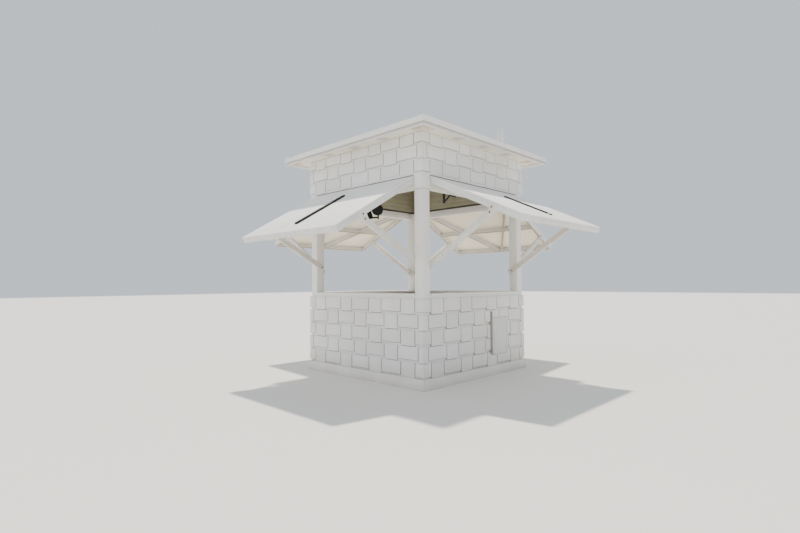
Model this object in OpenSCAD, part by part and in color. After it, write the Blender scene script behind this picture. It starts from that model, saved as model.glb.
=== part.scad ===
// White beach service kiosk: four posts, woven board walls, four propped flaps and a low hip roof.
// Millimetres, Z up. The origin is the centre of the plan on the ground; the front faces -Y.

/* [Posts and walls] */
// Distance between the outer faces of opposite posts
wall_side = 2420; // [2300:10:2600]
// Side of each square post
post_side = 140; // [120:5:170]
// Thickness of the framed walls and of the header beams
wall_depth = 90; // [70:5:105]
// Height of the underside of the counters
base_height = 1208; // [1170:1:1250]
// Height of the serving openings, from the underside of the counters to the header beams
opening_height = 1403; // [1250:1:1500]
// Height of the header beams, whose top is the hinge line of the flaps
header_height = 176; // [140:1:240]
// Height of the upper box, from the hinge line to the soffit
box_height = 561; // [480:1:640]

/* [Woven boards] */
// Width of a wide board and its groove
wide_board = 373; // [355:1:385]
// Width of a short corner board on each face of its post
corner_board = 133; // [115:1:138]
// Width of the groove between two boards
groove = 18; // [6:1:24]
// How far the top edge of a board stands out from the wall
board_top = 20; // [10:1:24]
// How far the bottom edge of a board stands out from the wall
board_bottom = 22; // [20:1:40]
// Height of the lowest row of wide boards on the base
base_first_row = 165; // [160:1:175]
// Height of the bare strip of the base above a row, down into which the next row's narrow boards reach
base_lap = 38; // [20:1:55]
// Height of the lowest row of wide boards above the bottom of the box
box_first_row = 46; // [35:1:70]
// Height of the bare strip of the upper box above a row
box_lap = 35; // [20:1:50]
// Height that the soffit cuts off the top row of the upper box
box_row_cut = 67; // [40:1:90]
// Height of header beam that the post sleeves leave bare
sleeve_rise = 2; // [0:1:100]
// Thickness of the post sleeves
sleeve_depth = 12; // [8:1:18]

/* [Plinth and counters] */
// Height of the plinth boards
plinth_height = 140; // [120:1:155]
// Thickness of the plinth boards
plinth_depth = 43; // [34:1:55]
// Thickness of the counter boards
counter_thick = 26; // [18:1:40]
// How far the counters stand out from the posts
counter_nose = 26; // [12:1:50]
// How far the counters reach in from the outer face of the posts
counter_reach = 410; // [300:10:600]

/* [Roof] */
// How far the roof reaches out from the posts
roof_overhang = 315; // [200:5:450]
// Thickness of the cap fascia
cap_depth = 20; // [12:1:30]
// Height of the cap fascia
cap_height = 67; // [55:1:110]
// Thickness of the sub-fascia
fascia_depth = 38; // [25:1:50]
// How far the sub-fascia shows below the cap fascia
fascia_reveal = 36; // [24:1:60]
// How far the sub-fascia hangs below the soffit
fascia_drop = 34; // [10:1:45]
// Thickness of the soffit boards
soffit_thick = 12; // [9:1:18]
// Thickness of the roof deck
deck_thick = 12; // [9:1:40]
// Rise of the roof from its edge to its peak
roof_rise = 200; // [120:5:320]
// How far the dark lining of the upper box stands inside the posts
lining_thick = 12; // [9:1:20]
// How far the lining reaches down over the header beams
lining_drop = 66; // [10:1:80]

/* [Flaps] */
// How far the hinge line of the flaps stands out from the posts
hinge_reach = 10; // [8:1:20]
// Length of a flap down its slope
flap_length = 1500; // [1320:10:1520]
// Gap between a flap and the posts on either side
flap_gap = 5; // [4:1:12]
// Depth of the flap rails
rail_depth = 76; // [60:1:90]
// Thickness of the flap rails
rail_thick = 38; // [30:1:45]
// Width of the rail along the hinge
hinge_rail = 89; // [80:1:120]
// Gap at the butt joints between the rails
rail_joint = 2; // [1:1:4]
// Thickness of the flap skins
skin_thick = 12; // [9:1:20]
// Distance of the middle rail from the hinge line
middle_rail = 800; // [650:10:900]
// Distance of the braces' heads from the sides of the flap, along the hinge
brace_inset = 130; // [100:5:300]
// Slope of the front flap in degrees
front_tilt = 30; // [20:0.5:34]
// Slope of the right flap in degrees
right_tilt = 25; // [20:0.5:34]
// Slope of the back flap in degrees
back_tilt = 29; // [20:0.5:34]
// Slope of the left flap in degrees
left_tilt = 25.5; // [20:0.5:34]

/* [Struts] */
// Width of a strut
strut_width = 76; // [60:1:100]
// Thickness of a strut
strut_thick = 38; // [25:1:45]
// Height of the foot bolt of most struts above the underside of the counters
strut_foot = 362; // [280:1:520]
// Height of the foot bolt of the front flap's right strut above the underside of the counters
front_right_foot = 455; // [280:1:560]
// Height of the foot bolt of the front flap's left strut above the underside of the counters
front_left_foot = 428; // [280:1:560]
// Distance from the hinge line to the head of most struts, down the slope
strut_head = 1080; // [1000:5:1200]
// Distance from the hinge line to the heads of the front flap's struts, down the slope
front_strut_head = 1060; // [1000:5:1200]
// Drop of the strut's head bolt below the flap frame
head_drop = 45; // [38:1:60]
// Thickness of the steel plates at the strut heads
plate_thick = 4; // [3:1:6]
// Width of the steel plates
plate_width = 44; // [36:1:64]
// How far the steel plates reach up over the rails
plate_lap = 34; // [28:1:50]
// Diameter of the strut bolts
bolt_diameter = 12; // [8:1:16]
// Clearance all round the bolts in the struts
bolt_clearance = 0.5; // [0.3:0.1:1]

/* [Lock bars] */
// Width of the black bars
bar_width = 60; // [25:1:75]
// Thickness of the black bars
bar_thick = 17; // [8:1:25]
// Distance from the hinge line to the top end of the bars
bar_start = 350; // [150:10:700]
// Distance from the hinge line to the foot of the bars
bar_end = 1272; // [900:1:1300]

/* [Fittings] */
// Width of the blank notice board
notice_width = 400; // [300:10:460]
// Height of the blank notice board
notice_height = 590; // [300:10:650]
// Sideways place of the notice board's middle on the right wall
notice_place = 520; // [400:5:620]
// Height of the notice board's bottom edge
notice_bottom = 275; // [180:5:350]
// Thickness of the notice board
notice_thick = 8; // [6:1:15]
// Width of the border that stands proud around the notice board
notice_border = 14; // [8:1:30]
// Width of the dark rail beside the notice board
side_rail_width = 40; // [20:1:50]
// Sideways place of the flood lamps' stem on the front header
lamp_place = 325; // [-600:5:600]
// Height of the flood lamps' arm below the header
lamp_drop = 294; // [220:1:320]
// Length of the arm to the smaller lamp
lamp_arm = 180; // [170:1:220]
// Diameter of the larger flood lamp
lamp_head = 160; // [100:2:170]
// Diameter of the smaller flood lamp
small_lamp_head = 130; // [80:2:140]
// Length of the flood lamp heads
lamp_length = 64; // [50:1:80]
// Sideways place of the upright of the iron bracket on the right header
bracket_place = -655; // [-900:1:500]
// Reach of the iron bracket along the header
bracket_reach = 270; // [150:10:350]
// Distance from the iron bracket's upright to the knee of its slanted bar
bracket_knee = 138; // [90:1:140]
// Drop of the iron bracket below the header
bracket_drop = 131; // [60:1:160]
// Thickness of the iron bracket
bracket_bar = 26; // [12:1:28]
// Place of the aerial along X
aerial_x = 1050; // [400:10:1100]
// Place of the aerial along Y
aerial_y = 950; // [400:10:1100]
// Height of the tip of the aerial's rod above the roof's edge
aerial_height = 485; // [250:5:700]
// Diameter of the aerial's rod
aerial_rod = 26; // [10:1:30]
// Width of the aerial's panel
panel_width = 52; // [40:1:70]
// Thickness of the aerial's panel
panel_thick = 20; // [12:1:30]
// Distance between the middles of the aerial's rod and panel
panel_place = 110; // [90:1:140]
// Height of the rod's tip above the panel
panel_drop = 50; // [20:1:100]

/* [Hidden] */
$fn = 48;
FRONT = 0;
RIGHT = 90;
BACK = 180;
LEFT = 270;
half = wall_side / 2;
base_rows = 5;
box_rows = 3;
header_bottom = base_height + opening_height;
box_bottom = header_bottom + header_height;
soffit_height = box_bottom + box_height;
inner = half - post_side;
narrow_board = (half - corner_board - 1.5 * wide_board) / 2;
weave = wide_board + narrow_board;
base_row = (base_height - base_first_row) / base_rows;
box_row = (box_height + box_row_cut - box_first_row) / box_rows;
row_joint = 1;
fascia_half = half + roof_overhang - cap_depth;
fascia_bottom = soffit_height - fascia_drop;
cap_bottom = fascia_bottom + fascia_reveal;
deck_bottom = cap_bottom + cap_height;
deck_half = half + roof_overhang;
deck_rim = cap_depth + fascia_depth + 2;
flap_half = inner - flap_gap;
flap_depth = rail_depth + skin_thick;
hinge_out = half + hinge_reach;
strut_out = half - post_side / 2;
brace_run = flap_length + 20;
brace_spread = flap_half - brace_inset;
mitre_gap = 1;
bolt_head = 7;
bracket_lift = 10;
wide_open = 3 * wall_side;

// Turns a piece that is drawn for the front to another side.
module side(turn) {
    rotate([0, 0, turn]) children();
}

// A prism along X with its outline given as [distance out from the centre, height].
module wall_prism(x0, x1, outline) {
    translate([x0, 0, 0])
        rotate([90, 0, 90])
            linear_extrude(x1 - x0)
                polygon([for (p = outline) [-p[0], p[1]]]);
}

// The outline of a board that is thicker at its bottom edge than at its top edge.
function wedge(from, z0, z1) = [[from, z0], [half + board_bottom, z0], [half + board_top, z1], [from, z1]];

// Where the corner boards of a row begin: short ones in even rows, tall ones in odd rows.
function corner_start(row) =
    (row % 2 == 0 ? half - corner_board : 1.5 * weave + wide_board / 2) + groove / 2;

// Rows of wide boards and taller narrow boards with level tops; a bare strip stays above each row.
module woven_rows(rows, first, pitch, lap, z_min, z_max) {
    board = pitch - lap;
    for (row = [0 : rows - 1]) {
        shift = row % 2 == 0 ? 0 : weave / 2;
        z = first + row * pitch;
        for (i = [-2 : 2]) {
            wide = shift + i * weave;
            narrow = shift + (i + 0.5) * weave;
            if (abs(wide) + wide_board / 2 < half)
                wall_prism(wide - wide_board / 2 + groove / 2, wide + wide_board / 2 - groove / 2,
                    wedge(half - row_joint, z, min(z + board, z_max)));
            if (abs(narrow) + narrow_board / 2 < half)
                wall_prism(narrow - narrow_board / 2 + groove / 2, narrow + narrow_board / 2 - groove / 2,
                    wedge(half - row_joint, max(z - lap + row_joint, z_min), min(z + board, z_max)));
        }
    }
}

// The boards at one corner that wrap both outer faces of the post.
module corner_wrap(start, outline, z0, z1) {
    difference() {
        intersection() {
            wall_prism(start, half + board_bottom, outline);
            side(RIGHT) wall_prism(-(half + board_bottom), -start, outline);
        }
        translate([start - 1, -half, z0 - 1]) cube([half - start + 1, half - start + 1, z1 - z0 + 2]);
    }
}

module corner_rows(rows, first, pitch, lap, z_max) {
    board = pitch - lap;
    for (row = [0 : rows - 1]) {
        start = corner_start(row);
        z = first + row * pitch;
        z0 = row % 2 == 0 ? z : z - lap + row_joint;
        z1 = min(z + board, z_max);
        corner_wrap(start, wedge(start, z0, z1), z0, z1);
    }
}

// The framed wall of the base with its woven boards; odd rows lap over the posts.
module base_wall(turn) {
    color("white") side(turn) difference() {
        union() {
            translate([-inner, -half, 0]) cube([2 * inner, wall_depth, base_height]);
            woven_rows(base_rows, base_first_row, base_row, base_lap, plinth_height + row_joint, base_height - row_joint);
        }
        post_space(plinth_height, base_height);
    }
}

// The space that two neighbouring posts take from a wall's boards.
module post_space(z0, z1) {
    for (s = [-1, 1])
        translate([s > 0 ? inner : -half - 1, -half, z0])
            cube([post_side + 1, post_side, z1 - z0]);
}

module post(turn) {
    color("white") side(turn)
        translate([inner, -half, 0]) cube([post_side, post_side, soffit_height]);
}

module quoins(turn) {
    sleeve_top = box_bottom + box_first_row - row_joint;
    sleeve_foot = header_bottom + sleeve_rise;
    color("white") side(turn) {
        corner_rows(base_rows, base_first_row, base_row, base_lap, base_height - row_joint);
        corner_rows(box_rows, box_bottom + box_first_row, box_row, box_lap, soffit_height - row_joint);
        corner_wrap(inner, [[inner, sleeve_foot], [half + sleeve_depth, sleeve_foot],
            [half + sleeve_depth, sleeve_top], [inner, sleeve_top]], sleeve_foot, sleeve_top);
    }
}

// Four mitred boards around the foot, a hair apart at the mitres.
module mitred_ring(outer, depth, z0, height) {
    for (turn = [FRONT, RIGHT, BACK, LEFT])
        side(turn) translate([0, 0, z0]) linear_extrude(height)
            polygon([[-outer + mitre_gap, -outer], [outer - mitre_gap, -outer],
                [outer - depth - mitre_gap, -outer + depth], [-outer + depth + mitre_gap, -outer + depth]]);
}

module plinth() {
    color("white") mitred_ring(half + plinth_depth, plinth_depth, 0, plinth_height);
}

module counter(turn) {
    nose = half + counter_nose;
    reach = half - counter_reach;
    color("white") side(turn) translate([0, 0, base_height]) linear_extrude(counter_thick)
        polygon([[-inner, -nose], [inner, -nose], [inner, -inner], [reach, -reach], [-reach, -reach], [-inner, -inner]]);
}

module header_beams() {
    for (turn = [FRONT, RIGHT, BACK, LEFT])
        color("white") side(turn) translate([-inner, -half, header_bottom])
            cube([2 * inner, wall_depth, header_height]);
}

// The framed wall of the upper box with its woven boards and the strip under the lowest row.
module box_wall(turn) {
    color("white") side(turn) difference() {
        union() {
            translate([-inner, -half, box_bottom]) cube([2 * inner, wall_depth, box_height]);
            translate([-inner, -half - hinge_reach, box_bottom])
                cube([2 * inner, hinge_reach + 1, box_first_row - row_joint]);
            woven_rows(box_rows, box_bottom + box_first_row, box_row, box_lap,
                box_bottom + row_joint, soffit_height - row_joint);
        }
        post_space(box_bottom, soffit_height);
        for (s = [-1, 1])
            translate([s > 0 ? inner : -half - board_bottom, -half - board_bottom - 1, box_bottom - 1])
                cube([post_side + board_bottom, board_bottom + 2, box_first_row + 1]);
    }
}

// The dark lining of the upper box with the battens that bring it inside the posts, mitred at the corners.
module box_lining() {
    foot = box_bottom - lining_drop;
    back = half - wall_depth;
    edge = inner - rail_joint;
    face = inner - lining_thick;
    for (turn = [FRONT, RIGHT, BACK, LEFT])
        color("dimgray") side(turn) translate([0, 0, foot]) linear_extrude(soffit_height - foot)
            polygon([[-edge, -back], [edge, -back], [edge, -edge - mitre_gap], [face - mitre_gap, -face],
                [-face + mitre_gap, -face], [-edge, -edge - mitre_gap]]);
}

module soffit() {
    reach = fascia_half - fascia_depth;
    color("white") translate([-reach, -reach, soffit_height]) cube([2 * reach, 2 * reach, soffit_thick]);
}

module sub_fascia() {
    color("white") mitred_ring(fascia_half, fascia_depth, fascia_bottom, deck_bottom - fascia_bottom);
}

module cap_fascia() {
    color("white") mitred_ring(deck_half, cap_depth, cap_bottom, cap_height);
}

// A four-sided roof form: two gables crossed at right angles.
module hip(reach, foot, edge, peak) {
    intersection_for (turn = [FRONT, RIGHT])
        side(turn) translate([0, wide_open / 2, 0]) rotate([90, 0, 0]) linear_extrude(wide_open)
            polygon([[-reach, foot], [reach, foot], [reach, edge], [0, peak], [-reach, edge]]);
}

module roof_body() {
    edge = deck_bottom + deck_thick;
    hip(deck_half, deck_bottom, edge, edge + roof_rise);
}

module roof_deck() {
    hollow = deck_half - deck_rim;
    lift = roof_rise * hollow / deck_half;
    color("gainsboro") difference() {
        roof_body();
        hip(hollow, deck_bottom - 1, deck_bottom + 0.01, deck_bottom + lift);
    }
}

// Moves a piece drawn in the flap's own frame, hinge along X and slope along -Y, to its place.
module flap_place(turn, tilt) {
    side(turn) translate([0, -hinge_out, box_bottom]) rotate([tilt, 0, 0]) children();
}

// The space of the wall and a small clearance, which bevels the flap's inner edge.
module hinge_bevel(turn) {
    side(turn) translate([-wide_open / 2, -half - 2, 0]) cube([wide_open, wide_open / 2, 2 * soffit_height]);
}

module flap_skin(turn, tilt) {
    color("white") difference() {
        flap_place(turn, tilt)
            translate([-flap_half, -flap_length, -skin_thick]) cube([2 * flap_half, flap_length, skin_thick]);
        hinge_bevel(turn);
    }
}

// A rail of the flap frame between two distances from the hinge line.
module rail(x0, x1, along0, along1) {
    translate([x0, -along1, -flap_depth]) cube([x1 - x0, along1 - along0, rail_depth]);
}

// The part of a slanted brace that lies between two distances from the hinge line.
module brace(hand, along0, along1) {
    angle = atan2(brace_run, -hand * brace_spread);
    intersection() {
        translate([hand * brace_spread, 0, -flap_depth])
            rotate([0, 0, -angle])
                translate([-200, -rail_thick / 2, 0])
                    cube([2 * flap_length, rail_thick, rail_depth]);
        rail(-flap_half + rail_thick + rail_joint, flap_half - rail_thick - rail_joint, along0, along1);
    }
}

module flap_frame(turn, tilt) {
    cross = flap_half - rail_thick - rail_joint;
    middle0 = middle_rail - rail_thick / 2;
    middle1 = middle_rail + rail_thick / 2;
    outer0 = flap_length - rail_thick;
    color("white") difference() {
        flap_place(turn, tilt) {
            rail(-flap_half, -flap_half + rail_thick, 0, flap_length);
            rail(flap_half - rail_thick, flap_half, 0, flap_length);
            rail(-cross, cross, 0, hinge_rail);
            rail(-cross, cross, middle0, middle1);
            rail(-cross, cross, outer0, flap_length);
            for (hand = [-1, 1]) {
                brace(hand, hinge_rail + rail_joint, middle0 - rail_joint);
                brace(hand, middle1 + rail_joint, outer0 - rail_joint);
            }
        }
        hinge_bevel(turn);
    }
}

// Distance from the hinge line to the strut heads of the flap on one side.
function head_along(turn) = turn == FRONT ? front_strut_head : strut_head;

// Centre of the head bolt as [distance out from the centre, height].
function head_at(turn, tilt) = [
    hinge_out + head_along(turn) * cos(tilt) - (flap_depth + head_drop) * sin(tilt),
    box_bottom - head_along(turn) * sin(tilt) - (flap_depth + head_drop) * cos(tilt)];

module strut(turn, tilt, hand, foot) {
    head = head_at(turn, tilt);
    run = head[0] - strut_out;
    climb = head[1] - foot;
    angle = atan2(climb, run);
    reach = sqrt(run * run + climb * climb);
    x0 = hand > 0 ? flap_half - strut_thick : -flap_half;
    difference() {
        union() {
            side(turn) translate([x0, -strut_out, foot]) rotate([-angle, 0, 0])
                translate([0, -reach - 200, -strut_width / 2])
                    cube([strut_thick, reach + 200 + strut_width / 2, strut_width]);
            side(turn) translate([hand > 0 ? flap_half - 1 : -inner, -strut_out, foot]) rotate([0, 90, 0])
                cylinder(d = strut_width / 2, h = flap_gap + 1);
            side(turn) translate([hand > 0 ? x0 - 8 : x0 + strut_thick - 1, -strut_out, foot]) rotate([0, 90, 0])
                cylinder(d = 2 * bolt_diameter, h = 9);
        }
        flap_place(turn, tilt)
            translate([-wide_open / 2, -2 * flap_length, -flap_depth]) cube([wide_open, 3 * flap_length, wide_open]);
        side(turn) translate([x0 - 1, -head[0], head[1]]) rotate([0, 90, 0])
            cylinder(d = bolt_diameter + 2 * bolt_clearance, h = strut_thick + 2);
    }
}

module struts(turn, tilt, right_foot, left_foot) {
    color("white") {
        strut(turn, tilt, 1, base_height + right_foot);
        strut(turn, tilt, -1, base_height + left_foot);
    }
}

// Two steel plates and a bolt that join the head of each strut to the flap's side rail.
module head_plates(turn, tilt, hand) {
    x0 = hand > 0 ? flap_half - strut_thick : -flap_half;
    out = head_along(turn);
    low = head_drop + plate_width / 2;
    flap_place(turn, tilt) {
        for (x = [x0 - plate_thick, x0 + strut_thick])
            translate([x, -out - plate_width / 2, -flap_depth - low])
                cube([plate_thick, plate_width, low + plate_lap]);
        translate([x0 - plate_thick - bolt_head, -out, -flap_depth - head_drop]) rotate([0, 90, 0])
            cylinder(d = bolt_diameter, h = strut_thick + 2 * plate_thick + 2 * bolt_head);
        for (x = [x0 - plate_thick - bolt_head, x0 + strut_thick + plate_thick])
            translate([x, -out, -flap_depth - head_drop]) rotate([0, 90, 0])
                cylinder(d = 2 * bolt_diameter, h = bolt_head);
    }
}

module strut_plates() {
    color("silver")
        for (s = [[FRONT, front_tilt], [RIGHT, right_tilt], [BACK, back_tilt], [LEFT, left_tilt]])
            for (hand = [-1, 1])
                head_plates(s[0], s[1], hand);
}

module lock_bars() {
    for (s = [[FRONT, front_tilt], [RIGHT, right_tilt], [BACK, back_tilt], [LEFT, left_tilt]])
        color("black") flap_place(s[0], s[1])
            translate([-bar_width / 2, -bar_end, 0]) cube([bar_width, bar_end - bar_start, bar_thick]);
}

module notice_board() {
    face = half + board_bottom;
    color("gainsboro") side(RIGHT) {
        translate([notice_place - notice_width / 2, -face - notice_thick, notice_bottom])
            difference() {
                cube([notice_width, notice_thick, notice_height]);
                translate([notice_border, -1, notice_border])
                    cube([notice_width - 2 * notice_border, 1 + notice_thick / 3, notice_height - 2 * notice_border]);
            }
    }
}

// The head of a flood lamp, which looks out to one side and down.
module lamp(diameter, way) {
    rotate([0, 0, way]) rotate([110, 0, 0])
        translate([0, 0, -lamp_length / 2]) cylinder(d = diameter, h = lamp_length);
}

module flood_lamps() {
    seat = half - wall_depth / 2;
    arm_z = header_bottom - lamp_drop;
    color("black") translate([lamp_place, -seat, 0]) {
        translate([-55, -30, header_bottom - 36]) cube([110, 60, 36]);
        translate([0, 0, arm_z - 30]) cylinder(d = 24, h = header_bottom - arm_z);
        translate([-lamp_arm, 0, arm_z]) rotate([0, 90, 0]) cylinder(d = 24, h = lamp_arm);
        translate([12, -20, arm_z + lamp_head / 2 + 24]) lamp(lamp_head, 35);
        translate([-lamp_arm, 0, arm_z + small_lamp_head / 2 - 10]) lamp(small_lamp_head, -42);
    }
}

module iron_fittings() {
    face = half - wall_depth;
    top = header_bottom + bracket_lift;
    foot = header_bottom - bracket_drop;
    lean = atan2(top - foot - bracket_bar, bracket_knee);
    rail_edge = notice_place - notice_width / 2 - 10;
    color("black") side(RIGHT) {
        translate([bracket_place, -face, foot]) {
            cube([bracket_bar, bracket_bar, top - foot]);
            intersection() {
                translate([4, 2, 4]) rotate([0, -lean, 0]) cube([2 * bracket_reach, bracket_bar - 4, bracket_bar - 6]);
                cube([bracket_knee + bracket_bar - 3, bracket_bar, top - foot - 3]);
            }
            translate([bracket_knee, 0, top - foot - bracket_bar])
                cube([bracket_reach - bracket_knee, bracket_bar, bracket_bar]);
        }
        translate([rail_edge - side_rail_width, -half - board_bottom - 16, notice_bottom + 30])
            cube([side_rail_width, 16, notice_height + 40]);
    }
}

module aerial() {
    base = deck_bottom + deck_thick;
    color("silver") difference() {
        translate([aerial_x, aerial_y, base]) {
            cylinder(d = 2 * aerial_rod, h = roof_rise);
            cylinder(d = aerial_rod, h = aerial_height);
            translate([-panel_width / 2, -panel_place - panel_thick / 2, 0])
                cube([panel_width, panel_thick, aerial_height - panel_drop]);
            translate([-8, -panel_place, aerial_height - panel_drop - 150]) cube([16, panel_place, 16]);
        }
        roof_body();
    }
}

base_wall(FRONT);  // front_base_wall
base_wall(RIGHT);  // right_base_wall
base_wall(BACK);  // back_base_wall
base_wall(LEFT);  // left_base_wall
post(FRONT);  // front_right_post
post(RIGHT);  // back_right_post
post(BACK);  // back_left_post
post(LEFT);  // front_left_post
quoins(FRONT);  // front_right_quoins
quoins(RIGHT);  // back_right_quoins
quoins(BACK);  // back_left_quoins
quoins(LEFT);  // front_left_quoins
plinth();
counter(FRONT);  // front_counter
counter(RIGHT);  // right_counter
counter(BACK);  // back_counter
counter(LEFT);  // left_counter
header_beams();
box_wall(FRONT);  // front_box_wall
box_wall(RIGHT);  // right_box_wall
box_wall(BACK);  // back_box_wall
box_wall(LEFT);  // left_box_wall
box_lining();
soffit();
sub_fascia();
cap_fascia();
roof_deck();
flap_frame(FRONT, front_tilt);  // front_flap_frame
flap_frame(RIGHT, right_tilt);  // right_flap_frame
flap_frame(BACK, back_tilt);  // back_flap_frame
flap_frame(LEFT, left_tilt);  // left_flap_frame
flap_skin(FRONT, front_tilt);  // front_flap_skin
flap_skin(RIGHT, right_tilt);  // right_flap_skin
flap_skin(BACK, back_tilt);  // back_flap_skin
flap_skin(LEFT, left_tilt);  // left_flap_skin
struts(FRONT, front_tilt, front_right_foot, front_left_foot);  // front_struts
struts(RIGHT, right_tilt, strut_foot, strut_foot);  // right_struts
struts(BACK, back_tilt, strut_foot, strut_foot);  // back_struts
struts(LEFT, left_tilt, strut_foot, strut_foot);  // left_struts
strut_plates();
lock_bars();
notice_board();
flood_lamps();
iron_fittings();
aerial();
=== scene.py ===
"""White beach service kiosk: painted boards, flaps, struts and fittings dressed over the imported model."""
import logging
import math
from collections.abc import Sequence
from dataclasses import dataclass, field, replace
from enum import Enum

import bmesh
import bpy
from mathutils import Matrix, Vector


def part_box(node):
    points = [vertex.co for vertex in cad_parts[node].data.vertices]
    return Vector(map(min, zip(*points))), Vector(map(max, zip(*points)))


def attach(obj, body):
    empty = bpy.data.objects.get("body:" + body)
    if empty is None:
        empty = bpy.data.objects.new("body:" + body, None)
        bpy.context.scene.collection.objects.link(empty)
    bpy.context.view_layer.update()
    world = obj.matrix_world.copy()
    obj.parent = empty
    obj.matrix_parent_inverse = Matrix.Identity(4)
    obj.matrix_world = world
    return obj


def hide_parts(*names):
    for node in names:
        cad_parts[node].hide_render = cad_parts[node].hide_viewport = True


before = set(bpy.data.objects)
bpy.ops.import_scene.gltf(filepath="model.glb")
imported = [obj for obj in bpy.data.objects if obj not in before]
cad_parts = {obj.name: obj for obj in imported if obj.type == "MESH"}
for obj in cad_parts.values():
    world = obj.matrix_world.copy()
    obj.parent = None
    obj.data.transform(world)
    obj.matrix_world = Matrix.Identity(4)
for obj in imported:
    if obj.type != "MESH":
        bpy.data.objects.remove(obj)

log = logging.getLogger("kiosk")
MM = 0.001
Point = Sequence[float]
Paint = bpy.types.Material
Socket = bpy.types.NodeSocket


class Side(Enum):
    """A side of the kiosk, valued by its turn about Z in degrees from the front."""

    FRONT = 0
    RIGHT = 90
    BACK = 180
    LEFT = 270

    @property
    def label(self) -> str:
        """The side's name as the model's nodes use it."""
        return self.name.lower()

    @property
    def matrix(self) -> Matrix:
        """The turn that takes a piece drawn for the front to this side."""
        return Matrix.Rotation(math.radians(self.value), 4, "Z")

    @property
    def corner(self) -> str:
        """The name of the corner at its right-hand end, as the model's nodes use it."""
        return ("front_right", "back_right", "back_left", "front_left")[self.value // 90]


class Grain(Enum):
    """The way the grain and brush marks of a board run."""

    ALONG_WALL = (1.4, 1.4, 34.0)
    UPRIGHT = (34.0, 34.0, 1.4)
    EVEN = (9.0, 9.0, 9.0)


@dataclass(frozen=True)
class Finish:
    """How a surface looks.

    Args:
        name: the material's name.
        colour: main colour as an sRGB hex string.
        shade: colour of the dirtier patches.
        roughness: lowest and highest roughness.
        bump: height of the surface marks in metres.
        grain: the way the marks run.
        dust: how strongly sand colours the lowest part, from 0 to 1.
        metallic: 1 for bare metal.
        wear: share of the surface that takes the shade colour.
        corner_stain: how brown the surface turns near the four corners of the plan, from 0 to 1.
        gloss: strength of the reflections, 0.5 for most surfaces.
    """

    name: str
    colour: str
    shade: str
    roughness: tuple[float, float] = (0.5, 0.68)
    bump: float = 0.0012
    grain: Grain = Grain.EVEN
    dust: float = 0.0
    metallic: float = 0.0
    wear: float = 0.45
    corner_stain: float = 0.0
    gloss: float = 0.5


def linear(hex_colour: str, alpha: float = 1.0) -> tuple[float, float, float, float]:
    """Turns an sRGB hex colour such as "#EAE8E1" into linear RGBA.

    Args:
        hex_colour: the colour as seven characters.
        alpha: its opacity.

    Returns:
        Red, green, blue and alpha.
    """
    parts = [int(hex_colour[i : i + 2], 16) / 255 for i in (1, 3, 5)]
    channels = [c / 12.92 if c <= 0.04045 else ((c + 0.055) / 1.055) ** 2.4 for c in parts]
    return (*channels, alpha)


def set_socket(tree: bpy.types.NodeTree, socket: Socket, value: Socket | float | Point) -> None:
    """Links a socket to another one, or gives it a plain value.

    Args:
        tree: the material's node tree.
        socket: the socket to set.
        value: the socket to link from, or a plain value.
    """
    if isinstance(value, bpy.types.NodeSocket):
        tree.links.new(value, socket)
    else:
        socket.default_value = value


def add_node(tree: bpy.types.NodeTree, kind: str, **values: object) -> bpy.types.Node:
    """Adds a shader node and sets its sockets or properties by name.

    Args:
        tree: the material's node tree.
        kind: the node's type name, such as "ShaderNodeTexNoise".
        values: socket values, sockets to link from, or properties of the node.

    Returns:
        The new node.
    """
    made = tree.nodes.new(kind)
    for name, value in values.items():
        key = name.replace("_", " ")
        socket = next((s for s in made.inputs if s.name.lower() == key.lower()), None)
        if socket is None:
            setattr(made, name, value)
        else:
            set_socket(tree, socket, value)
    return made


def blend(
    tree: bpy.types.NodeTree, kind: str, share: Socket | float, low: Socket | Point, high: Socket | Point
) -> Socket:
    """Mixes two values, each a socket or a plain value.

    Args:
        tree: the material's node tree.
        kind: "FLOAT" or "RGBA".
        share: how much of the second value is taken.
        low: the first value.
        high: the second value.

    Returns:
        The socket of the mixed value.
    """
    mix = add_node(tree, "ShaderNodeMix", data_type=kind)
    first, out = {"FLOAT": (2, 0), "RGBA": (6, 2)}[kind]
    for index, value in ((0, share), (first, low), (first + 1, high)):
        set_socket(tree, mix.inputs[index], value)
    return mix.outputs[out]


def maths(tree: bpy.types.NodeTree, operation: str, *values: Socket | float, clamp: bool = False) -> Socket:
    """Works out one operation on one or two values, clamped to 0 to 1 if asked.

    Args:
        tree: the material's node tree.
        operation: the operation's name, such as "MULTIPLY".
        values: sockets or plain numbers.
        clamp: whether the result is kept from 0 to 1.

    Returns:
        The socket of the result.
    """
    made = add_node(tree, "ShaderNodeMath", operation=operation, use_clamp=clamp)
    for socket, value in zip(made.inputs, values):
        set_socket(tree, socket, value)
    return made.outputs[0]


def stretch(tree: bpy.types.NodeTree, value: Socket, low: float, high: float) -> Socket:
    """Maps the range from low to high onto 0 to 1, and clamps what lies outside."""
    return add_node(tree, "ShaderNodeMapRange", Value=value, From_Min=low, From_Max=high).outputs[0]


def noise(tree: bpy.types.NodeTree, place: Socket, scale: float, detail: float, roughness: float) -> Socket:
    """Adds a noise texture at a place."""
    kind = "ShaderNodeTexNoise"
    return add_node(tree, kind, Vector=place, Scale=scale, Detail=detail, Roughness=roughness).outputs[0]


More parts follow.
